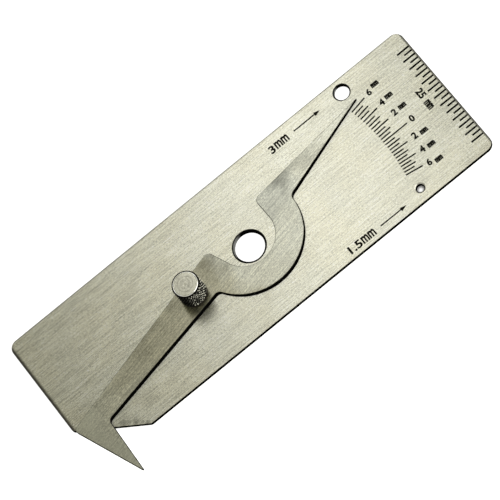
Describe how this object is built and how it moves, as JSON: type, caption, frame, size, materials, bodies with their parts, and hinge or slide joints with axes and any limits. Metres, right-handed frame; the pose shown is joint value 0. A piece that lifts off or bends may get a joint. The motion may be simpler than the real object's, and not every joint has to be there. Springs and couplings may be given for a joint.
{
  "type": "weld gauge",
  "caption": "Flat steel weld gauge: a graduated plate with comparison holes and a pivoting pointer arm with a hooked probe, locked by a knurled thumb nut.",
  "frame": {"origin": "the hang hole's axis in the middle of the plate, on the plate's back face", "axes": "+X along the plate toward the scale end, +Y across it away from the working edge, +Z out of the front face"},
  "size_m": [0.096, 0.0381, 0.0076],
  "materials": {
    "plate_steel": "brushed along the plate",
    "stud_steel": "turned",
    "arm_steel": "brushed along the arm",
    "washer_steel": "plain",
    "nut_steel": "turned top, knurled side"
  },
  "bodies": {
    "plate": {"base_plate": "plate_steel", "pivot_stud": "stud_steel"},
    "arm": {"indicator_arm": "arm_steel", "friction_washer": "washer_steel"},
    "nut": {"thumb_nut": "nut_steel"}
  },
  "joints": [
    {"name": "arm_pivot", "type": "hinge", "parent": "plate", "child": "arm", "pos_m": [-0.01385, -0.0008, 0.0014], "axis": [0, 0, 1], "range_deg": [-23.6, 0.9]},
    {"name": "nut_turn", "type": "hinge", "parent": "plate", "child": "nut", "pos_m": [-0.01385, -0.0008, 0.004], "axis": [0, 0, 1], "range_deg": [0, 180]}
  ]
}
